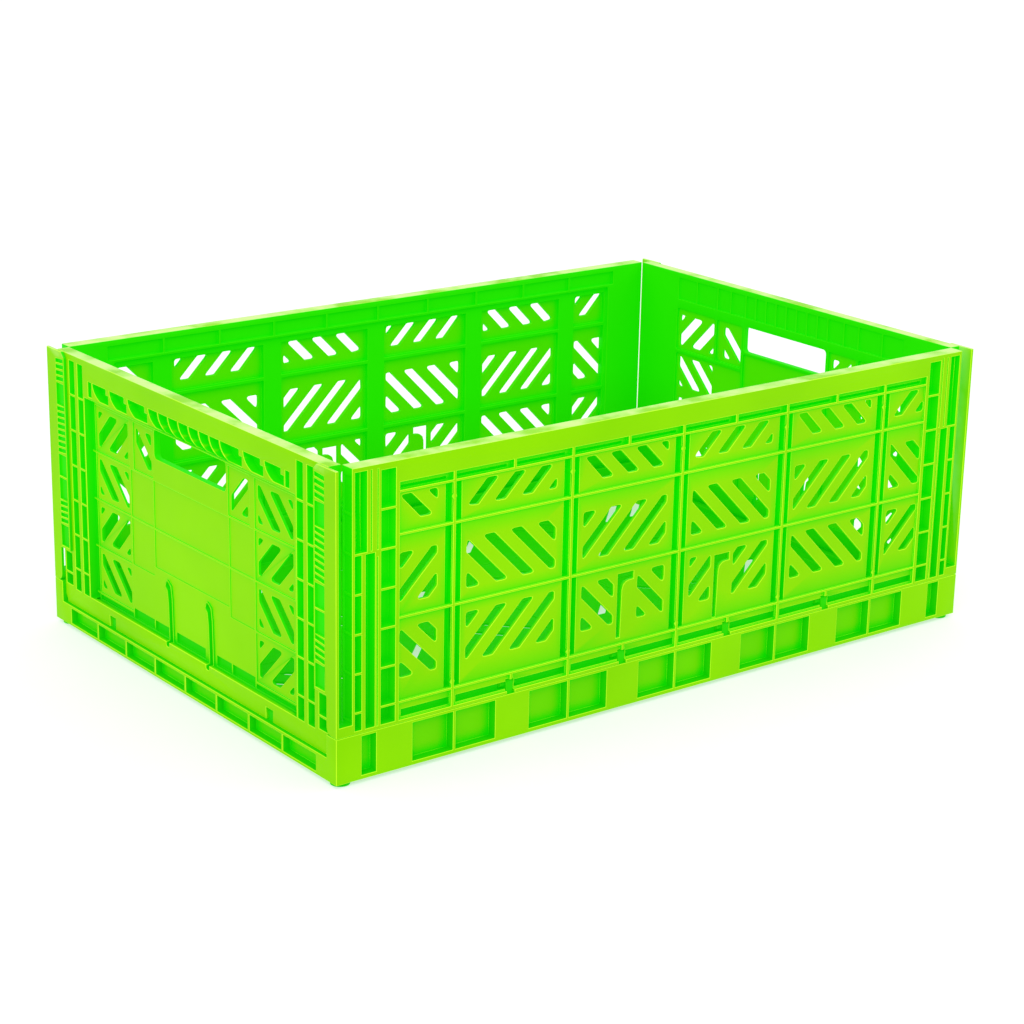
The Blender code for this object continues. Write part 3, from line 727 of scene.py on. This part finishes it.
def end_wall_front(wall):
    """The recessed field of an end wall with its tiles, slots, grooves and ladders."""
    half_rib = THIN_RIB / 2
    tiles, slots = end_wall_cells()
    half_field, field_bottom, field_top = END_FIELD
    field = [rectangle(-half_field, half_field, field_bottom, field_top)]
    combine(wall, extruded("field", field, -OVERCUT, END_FIELD_DEPTH))
    combine(wall, extruded("tiles", tiles, -OVERCUT, END_TILE_DEPTH))
    panels = both_sides([rectangle(*SIDE_PANEL, END_ROWS[3] + half_rib, END_ROWS[2] - half_rib),
                         rectangle(*SIDE_PANEL, END_ROWS[2] + half_rib, END_ROWS[1] - half_rib)])
    panels += [rectangle(*MIDDLE_PANEL, END_ROWS[2] + half_rib, END_ROWS[1] - half_rib),
               rectangle(*MIDDLE_PANEL, END_ROWS[3] + 8.0, END_ROWS[2] - half_rib)]
    combine(wall, extruded("panels", panels, -OVERCUT, PANEL_DEPTH))
    deep = [rectangle(*END_GROOVE, field_bottom, field_top), rectangle(175.0, 185.2, 46.6, 62.4),
            rectangle(175.0, 185.2, 36.0, 44.8)]
    for left, right in END_LADDERS:
        deep += ladder(left, right, field_bottom, HEIGHT - 5.0)
    combine(wall, extruded("pockets", band_pockets() + both_sides(deep), -OVERCUT, END_POCKET_DEPTH))
    hooks = [rectangle(END_GROOVE[0] - 1.0, END_GROOVE[1] - 2.6, row - half_rib, row + half_rib)
             for row in END_ROWS[1:]]
    combine(wall, extruded("hooks", both_sides(hooks), END_FIELD_DEPTH, END_SKIN_BACK), "UNION")
    gutters = [rectangle(-TONGUE_X + 5.6, TONGUE_X - 10.4, field_bottom + 0.6, GUTTER_TOP)]
    gutters += both_sides([rectangle(TONGUE_X + 5.6, 54.2, field_bottom + 0.6, GUTTER_TOP),
                           rectangle(55.8, 86.0, field_bottom + 0.6, GUTTER_TOP),
                           rectangle(87.6, 138.8, field_bottom + 0.6, END_ROWS[-1] - 1.2)])
    combine(wall, extruded("gutters", gutters, -OVERCUT, GUTTER_DEPTH))
    collars = [tongue_slit(x, COLLAR_WIDTH) for x in (-TONGUE_X, TONGUE_X)]
    combine(wall, extruded("collars", collars, END_FIELD_DEPTH - COLLAR_HEIGHT, END_SKIN_BACK), "UNION")
    combine(wall, extruded("slots", slots, -OVERCUT, END_THICKNESS + OVERCUT))


def end_wall_back(wall):
    """Recesses of an end wall's inner face, with a row of shallow ones along its rim."""
    backs = [rectangle(-50.5, 50.5, 42.0, 168.0)]
    backs += both_sides([rectangle(52.5, 138.0, 42.0, 151.8), rectangle(53.0, 85.5, 154.6, 192.0),
                         rectangle(87.5, 138.0, 154.6, 192.0)])
    backs = [rounded(outline, 2.0) for outline in backs]
    combine(wall, extruded("backs", backs, END_SKIN_BACK, END_THICKNESS + OVERCUT))
    pockets = both_sides([rectangle(left + 0.8, right - 0.8, 200.0, HEIGHT - 4.5)
                          for left, right in zip(END_RIM_LINES, END_RIM_LINES[1:])])
    pocket_face = END_THICKNESS - END_RIM_POCKET_DEPTH
    combine(wall, extruded("rim_pockets", pockets, pocket_face, END_THICKNESS + OVERCUT))


def end_wall_mesh():
    wall = wall_slab("end_wall", END_HALF_WIDTH, END_BOTTOM, END_THICKNESS)
    end_wall_front(wall)
    end_wall_back(wall)
    outside = END_HALF_WIDTH + 5.0
    corners = both_sides([[(END_HALF_WIDTH - 9.0, 0.0), (outside, 0.0), (outside, END_BOTTOM + 14.0),
                           (END_HALF_WIDTH - 2.4, END_BOTTOM + 2.4)]])
    combine(wall, extruded("corners", corners, -OVERCUT, END_THICKNESS + OVERCUT))
    rungs = ladder(1.4, END_THICKNESS - 1.4, EDGE_LADDER_BOTTOM, HEIGHT - 4.0)
    for side in (-1, 1):
        near, far = sorted((side * (END_HALF_WIDTH - EDGE_LADDER_DEPTH), side * (END_HALF_WIDTH + OVERCUT)))
        combine(wall, extruded("edge_ladder", rungs, near, far, "x"))
    cut_hinge_notches(wall, END_LUGS, END_LUG_WIDTH, END_LUG_RADIUS, END_THICKNESS, END_HINGE_HEIGHT)
    wall.data.transform(Matrix.Translation((0, -END_OUTER_X * MM, 0)))
    return wall


def side_band_pockets():
    """Pockets of the base's long sides, between its flat blocks and thin ribs."""
    edges = [-(LENGTH / 2 - CORNER_BLOCK)]
    for step in range(-3, 3):
        middle = (step + 0.5) * BASE_BLOCK_PITCH
        edges += [middle - BASE_BLOCK_HALF, middle + BASE_BLOCK_HALF]
    edges.append(LENGTH / 2 - CORNER_BLOCK)
    pockets = []
    low, high = FOOT_HEIGHT + 3.0, BASE_TOP - 2.0
    for left, right in zip(edges[0::2], edges[1::2]):
        middle = (left + right) / 2
        if right - left > 2 * CORNER_RECESS:
            pockets.append(rectangle(left, middle - RIB / 2, low, high))
            pockets.append(rectangle(middle + RIB / 2, right, low, high))
        else:
            pockets.append(rectangle(left, right, low, high))
    return pockets


def floor_cells():
    """Cells of the floor between its ribs: left, right, near, far, rising."""
    half_x, half_y = FLOOR_HALF
    cell_x = 2 * half_x / FLOOR_COLUMNS
    cell_y = 2 * half_y / FLOOR_ROWS
    cells = []
    for column in range(FLOOR_COLUMNS):
        for row in range(FLOOR_ROWS):
            left = -half_x + column * cell_x + FLOOR_HALF_RIB
            near = -half_y + row * cell_y + FLOOR_HALF_RIB
            right = left + cell_x - 2 * FLOOR_HALF_RIB
            far = near + cell_y - 2 * FLOOR_HALF_RIB
            cells.append((left, right, near, far, (column + row) % 2 == 0))
    return cells


def grown_floor_cells(growth):
    """Rectangles of the floor's cells, each edge moved outward by the growth, or inward if it is negative."""
    return [rectangle(left - growth, right + growth, near - growth, far + growth)
            for left, right, near, far, _ in floor_cells()]


def floor_slots():
    """Drain slots: two in each cell of the floor."""
    outlines = []
    for left, right, near, far, rising in floor_cells():
        middle_x, middle_y = (left + right) / 2, (near + far) / 2
        low, high = middle_y - DRAIN_REACH, middle_y + DRAIN_REACH
        lean = DRAIN_REACH if rising else -DRAIN_REACH
        for shift in (-DRAIN_SHIFT, DRAIN_SHIFT):
            x = middle_x + shift
            outline = [(x - lean - DRAIN_HALF_WIDTH, low), (x - lean + DRAIN_HALF_WIDTH, low),
                       (x + lean + DRAIN_HALF_WIDTH, high), (x + lean - DRAIN_HALF_WIDTH, high)]
            outlines.append(rounded(outline, DRAIN_ROUND))
    return outlines


def base_mesh():
    half_length, half_width = LENGTH / 2, WIDTH / 2
    rim = half_width - LONG_THICKNESS
    base = extruded("base", [rectangle(-half_length, half_length, -half_width, half_width)],
                    FOOT_HEIGHT, BASE_TOP, "z")
    room = [rectangle(-half_length - OVERCUT, half_length + OVERCUT, -rim, rim)]
    combine(base, extruded("room", room, END_SILL_TOP, BASE_TOP + OVERCUT, "z"))
    floor = [rectangle(-END_HINGE_X + FLOOR_EDGE, END_HINGE_X - FLOOR_EDGE, -rim, rim)]
    combine(base, extruded("floor", floor, FLOOR_TOP, BASE_TOP, "z"))
    tiles = [rounded(outline, 3.0) for outline in grown_floor_cells(-2)]
    combine(base, extruded("floor_tiles", tiles, FLOOR_TOP - 0.8, BASE_TOP, "z"))
    under = grown_floor_cells(2.5)
    combine(base, extruded("under", under, 0, FLOOR_TOP - FLOOR_THICKNESS, "z"))
    combine(base, extruded("drain", floor_slots(), 0, BASE_TOP, "z"))
    pockets = side_band_pockets()
    combine(base, extruded("front_band", pockets, -half_width - OVERCUT, -half_width + SIDE_BAND_DEPTH))
    combine(base, extruded("back_band", pockets, half_width - SIDE_BAND_DEPTH, half_width + OVERCUT))
    end_pockets = [rectangle(left + 1.2, left + END_BAND_PITCH - 1.2, FOOT_HEIGHT + 2.2, END_SILL_TOP - 2.2)
                   for left in (step * END_BAND_PITCH for step in range(-4, 4))]
    outer, inner = half_length + OVERCUT, half_length - END_BAND_DEPTH
    combine(base, extruded("left_band", end_pockets, -outer, -inner, "x"))
    combine(base, extruded("right_band", end_pockets, inner, outer, "x"))
    for side_x in (-1, 1):
        for side_y in (-1, 1):
            foot_x, foot_y = side_x * (half_length - FOOT_INSET), side_y * (half_width - FOOT_INSET)
            foot = circle(foot_x, foot_y, FOOT_RADIUS, 32)
            combine(base, extruded("foot", [foot], 0, FOOT_HEIGHT + 2, "z"), "UNION")
    for side in (-1, 1):
        add_lugs(base, LONG_LUGS, side * LONG_HINGE_Y, LONG_HINGE_HEIGHT,
                 LONG_LUG_WIDTH, LONG_LUG_RADIUS, "x")
        add_lugs(base, END_LUGS, side * END_HINGE_X, END_HINGE_HEIGHT, END_LUG_WIDTH, END_LUG_RADIUS, "y")
    return base


def add_lugs(base, places, hinge_across, hinge_height, width, radius, along):
    """Lugs that hold a wall, each a round-topped post with a pin through it."""
    for place in places:
        foot = hinge_height - radius - LUG_ROOT
        outline = [(hinge_across - radius, foot), (hinge_across + radius, foot)]
        for step in range(LUG_STEPS + 1):
            angle = math.pi * step / LUG_STEPS
            outline.append((hinge_across + radius * math.cos(angle), hinge_height + radius * math.sin(angle)))
        combine(base, extruded("lug", [outline], place - width / 2, place + width / 2, along), "UNION")
        reach = width / 2 + PIN_REACH
        pin = [circle(hinge_across, hinge_height, PIN_RADIUS)]
        combine(base, extruded("pin", pin, place - reach, place + reach, along), "UNION")


def mixed_colour(nodes, links, factor, low, high):
    """Node output that runs from one colour to the other as the factor goes from 0 to 1."""
    mix = nodes.new("ShaderNodeMix")
    mix.data_type = "RGBA"
    links.new(factor, mix.inputs[0])
    for socket, colour in ((6, low), (7, high)):
        if isinstance(colour, tuple):
            mix.inputs[socket].default_value = (*colour, 1.0)
        else:
            links.new(colour, mix.inputs[socket])
    return mix.outputs[2]


def noise(nodes, links, scale, detail):
    place = nodes.new("ShaderNodeTexCoord")
    texture = nodes.new("ShaderNodeTexNoise")
    texture.inputs["Scale"].default_value = scale
    texture.inputs["Detail"].default_value = detail
    links.new(place.outputs["Object"], texture.inputs["Vector"])
    return texture.outputs["Fac"]


def in_range(nodes, links, value, low, high, new_low=0.0, new_high=1.0):
    spread = nodes.new("ShaderNodeMapRange")
    for label, number in (("From Min", low), ("From Max", high), ("To Min", new_low), ("To Max", new_high)):
        spread.inputs[label].default_value = number
    links.new(value, spread.inputs["Value"])
    return spread.outputs["Result"]


def attribute(nodes, label):
    source = nodes.new("ShaderNodeAttribute")
    source.attribute_name = label
    return source.outputs["Fac"]


def product(nodes, links, first, second):
    share = nodes.new("ShaderNodeMath")
    share.operation = "MULTIPLY"
    links.new(first, share.inputs[0])
    links.new(second, share.inputs[1])
    return share.outputs[0]


def painted_light_share(nodes, links):
    """Share of the lit colour against the painted shade: 0 deep in a groove, 1 on an open face, lower inside
    the crate.
    """
    recess = nodes.new("ShaderNodeAmbientOcclusion")
    recess.samples = 6
    recess.only_local = True
    recess.inputs["Distance"].default_value = RECESS_REACH * MM
    groove = in_range(nodes, links, recess.outputs["AO"], *RECESS_RANGE)
    room = in_range(nodes, links, attribute(nodes, PAINTED_SHADE), 0.0, 1.0, 1.0, INSIDE_LIT_SHARE)
    return product(nodes, links, groove, room)


def room_painted_shade(nodes, links):
    """Strength of the glow, with painted shade: full outside the crate, and fading towards the floor of its
    room.
    """
    place = nodes.new("ShaderNodeTexCoord")
    split = nodes.new("ShaderNodeSeparateXYZ")
    links.new(place.outputs["Object"], split.inputs[0])
    height = in_range(nodes, links, split.outputs["Z"], FLOOR_TOP * MM, LIT_ROOM_HEIGHT * MM,
                      FLOOR_SHADE, 1.0)
    blend = nodes.new("ShaderNodeMix")
    links.new(attribute(nodes, PAINTED_SHADE), blend.inputs[0])
    blend.inputs[2].default_value = 1.0
    links.new(height, blend.inputs[3])
    return blend.outputs[0]


def bright_plastic(name, open_colour, open_glow, roughness):
    """Fluorescent green plastic with painted light: painted shade makes it pure green in recesses and inside
    the crate and yellow-green on open faces, and an emission adds a painted glow.

    The colour drifts faintly with the flow of the mould, the skin is satin with fine scuffs, and a
    painted highlight makes the top of the rims paler in patches.
    """
    material = bpy.data.materials.new(name)
    material.use_nodes = True
    nodes = material.node_tree.nodes
    links = material.node_tree.links
    shader = nodes["Principled BSDF"]
    # Share of the lit colour; where it is low, the plastic takes the painted shade colour and glow.
    light = painted_light_share(nodes, links)
    drift = in_range(nodes, links, noise(nodes, links, *DRIFT_NOISE), 0.3, 0.7)
    paler = tuple(min(value * 1.08, 1.0) for value in open_colour)
    deeper = tuple(value * 0.92 for value in open_colour)
    lit = mixed_colour(nodes, links, drift, deeper, paler)
    # Painted highlight on the rims' tops, broken into patches by noise.
    highlight_patches = in_range(nodes, links, noise(nodes, links, *HIGHLIGHT_PATCH_NOISE), 0.36, 0.6, 0.15, 1.0)
    rim = product(nodes, links, attribute(nodes, RIM_HIGHLIGHT), highlight_patches)
    rim_highlighted = mixed_colour(nodes, links, rim, lit, RIM_HIGHLIGHT_COLOUR)
    links.new(mixed_colour(nodes, links, light, PAINTED_SHADE_COLOUR, rim_highlighted), shader.inputs["Base Color"])
    # The emission is a painted glow; its colour follows the painted shade and the painted rim highlight.
    open_part = mixed_colour(nodes, links, rim, open_glow, RIM_HIGHLIGHT_GLOW)
    links.new(mixed_colour(nodes, links, light, PAINTED_SHADE_GLOW, open_part), shader.inputs["Emission Color"])
    # Painted shade inside the crate dims the glow towards its floor.
    links.new(room_painted_shade(nodes, links), shader.inputs["Emission Strength"])
    scuffs = in_range(nodes, links, noise(nodes, links, *SCUFF_NOISE), 0.0, 1.0,
                      roughness - 0.05, roughness + 0.07)
    links.new(scuffs, shader.inputs["Roughness"])
    skin = nodes.new("ShaderNodeBump")
    skin.inputs["Strength"].default_value = 0.12
    skin.inputs["Distance"].default_value = 0.0002
    links.new(noise(nodes, links, *GRAIN_NOISE), skin.inputs["Height"])
    links.new(skin.outputs["Normal"], shader.inputs["Normal"])
    shader.inputs["IOR"].default_value = 1.49
    shader.inputs["Specular IOR Level"].default_value = 0.03
    return material


def mark(mesh, label, share_of):
    """Give every corner the largest share that the function finds for the faces around it."""
    attribute_data = mesh.attributes.new(label, "FLOAT", "POINT")
    shares = [0.0] * len(mesh.vertices)
    for face in mesh.polygons:
        share = share_of(face)
        for corner in face.vertices:
            shares[corner] = max(shares[corner], share)
    attribute_data.data.foreach_set("value", shares)


def rim_highlight_share(face):
    """1 on the top of a wall's rim, where the painted highlight goes."""
    return float(face.normal.z > RIM_UPWARD and face.center.z > (HEIGHT - RIM_HEIGHT) * MM)


def wall_painted_shade(inward, half_size, skin, deep):
    """Function for a wall's painted shade: 1 on its inner face and in its deep pockets, less behind its
    tiles.
    """
    def share(face):
        depth = half_size + face.center.dot(inward) / MM
        facing = face.normal.dot(inward)
        if facing > FACING:
            return TILE_BACK_SHADE if depth < skin + 0.5 else 1.0
        if abs(facing) < FACING:
            return float(SIDE_DEEP < depth < LONG_THICKNESS and not rim_highlight_share(face))
        return float(depth > deep)
    return share


def long_wall_painted_shade(inward):
    """Like the other walls, with painted shade in the combs of the return plates as well."""
    across = wall_painted_shade(inward, WIDTH / 2, TILE_BACK, LONG_DEEP)

    def share(face):
        reach = abs(face.center.x) / MM
        if abs(face.normal.x) > FACING and reach > CORNER_SLOT[1] - 0.1:
            return float(LENGTH / 2 - COMB_DEPTH - 0.1 < reach < LENGTH / 2 - 0.7)
        return across(face)
    return share


def base_painted_shade(face):
    """Painted shade: 1 in the base's room and on the sides of its pockets, less on their bottoms, 0 under the
    floor.
    """
    depth = min(LENGTH / 2 - abs(face.center.x) / MM, WIDTH / 2 - abs(face.center.y) / MM)
    if face.center.z < (FLOOR_TOP - FLOOR_THICKNESS - 0.1) * MM and depth > ROOM_DEEP:
        return 0.0
    side_start, side_end = POCKET_SIDES
    if depth > ROOM_DEEP or side_start < depth < side_end:
        return 1.0
    return POCKET_FLOOR_SHADE if depth > side_end else 0.0


def finished(piece, name, node, body, materials, painted_shade):
    """Round the edges of a moulding, give it its plastic and set it on its body."""
    piece.name = name
    piece.data.materials.clear()
    for material in materials:
        piece.data.materials.append(material)
    flat = bmesh.new()
    flat.from_mesh(piece.data)
    bmesh.ops.triangulate(flat, faces=flat.faces)
    flat.to_mesh(piece.data)
    flat.free()
    edge = piece.modifiers.new("moulded_edges", "BEVEL")
    edge.width = EDGE_ROUND * MM
    edge.segments = 2
    edge.limit_method = "ANGLE"
    edge.angle_limit = math.radians(40)
    edge.use_clamp_overlap = False
    edge.loop_slide = False
    # The rounded edges get the second material, whose paler colour and stronger glow are a painted highlight.
    edge.material = 1
    mesh = evaluated_mesh(piece)
    piece.modifiers.clear()
    piece.data = mesh
    # Vertex mask for the painted shade in recesses and inside the crate.
    mark(mesh, PAINTED_SHADE, painted_shade)
    # Vertex mask for the painted highlight on the rims' tops.
    mark(mesh, RIM_HIGHLIGHT, rim_highlight_share)
    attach(piece, body)
    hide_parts(node)


def turned_copy(piece, degrees):
    mesh = piece.data.copy()
    mesh.transform(Matrix.Rotation(math.radians(degrees), 4, "Z"))
    return add_object(piece.name + "_turned", mesh)


def build_crate():
    face = bright_plastic("neon_plastic", *FACE_PLASTIC)
    # Second material: a painted highlight on the rounded edges.
    edge_highlight = bright_plastic("neon_plastic_edge_highlight", *EDGE_HIGHLIGHT_PLASTIC)
    materials = [face, edge_highlight]
    long_wall = long_wall_mesh()
    back_wall = turned_copy(long_wall, 180)
    end_wall = end_wall_mesh()
    right_end = turned_copy(end_wall, 90)
    end_wall.data.transform(Matrix.Rotation(math.radians(-90), 4, "Z"))
    finished(long_wall, "front_wall_moulding", "front_wall", "front", materials,
             long_wall_painted_shade(Vector((0, 1, 0))))
    finished(back_wall, "back_wall_moulding", "back_wall", "back", materials,
             long_wall_painted_shade(Vector((0, -1, 0))))
    finished(end_wall, "left_end_wall_moulding", "left_end_wall", "left_end", materials,
             wall_painted_shade(Vector((1, 0, 0)), END_OUTER_X, END_SKIN_BACK, END_DEEP))
    finished(right_end, "right_end_wall_moulding", "right_end_wall", "right_end", materials,
             wall_painted_shade(Vector((-1, 0, 0)), END_OUTER_X, END_SKIN_BACK, END_DEEP))
    finished(base_mesh(), "base_tray_moulding", "base_tray", "base", materials,
             base_painted_shade)


def build_floor():
    """Level pale floor, wide enough to fill the view from any side."""
    floor = extruded("studio_floor", [rectangle(-9000, 9000, -9000, 9000)], -8.0, -0.05, "z")
    material = bpy.data.materials.new("pale_floor")
    material.use_nodes = True
    shader = material.node_tree.nodes["Principled BSDF"]
    shader.inputs["Base Color"].default_value = (0.5, 0.5, 0.5, 1.0)
    shader.inputs["Roughness"].default_value = 0.8
    shader.inputs["Emission Color"].default_value = (1.0, 1.0, 1.0, 1.0)
    shader.inputs["Emission Strength"].default_value = 0.5
    floor.data.materials.append(material)


def soft_light(name, location, size, power):
    data = bpy.data.lights.new(name, "AREA")
    data.shape = "DISK"
    data.size = size
    data.energy = power
    lamp = add_object(name, data)
    lamp.location = location
    lamp.rotation_euler = (Vector(LAMP_TARGET) - Vector(location)).to_track_quat("-Z", "Y").to_euler()


def build_light():
    for name, (location, size, power) in LAMPS.items():
        soft_light(name, location, size, power)
    world = bpy.data.worlds.new("studio")
    world.use_nodes = True
    world.node_tree.nodes["Background"].inputs["Color"].default_value = (1.0, 1.0, 1.0, 1.0)
    world.node_tree.nodes["Background"].inputs["Strength"].default_value = 1.0
    bpy.context.scene.world = world
    bpy.context.scene.view_settings.view_transform = "Standard"


def build_camera():
    """Camera at the photograph's angle: azimuth, elevation and a slight roll about its own axis."""
    azimuth, elevation, roll = (math.radians(angle) for angle in CAMERA_ANGLES)
    back = Vector((math.sin(azimuth) * math.cos(elevation), -math.cos(azimuth) * math.cos(elevation),
                   math.sin(elevation)))
    right = Vector((0, 0, 1)).cross(back).normalized()
    up = back.cross(right)
    turn = Matrix((right, up, back)).transposed().to_4x4()
    camera = add_object("camera", bpy.data.cameras.new("camera"))
    camera.data.sensor_width = CAMERA_SENSOR
    camera.data.lens = CAMERA_LENS
    place = Matrix.Translation(CAMERA_PLACE)
    camera.matrix_world = place @ turn @ Matrix.Rotation(-roll, 4, "Z")
    bpy.context.scene.camera = camera


build_crate()
build_floor()
build_light()
build_camera()
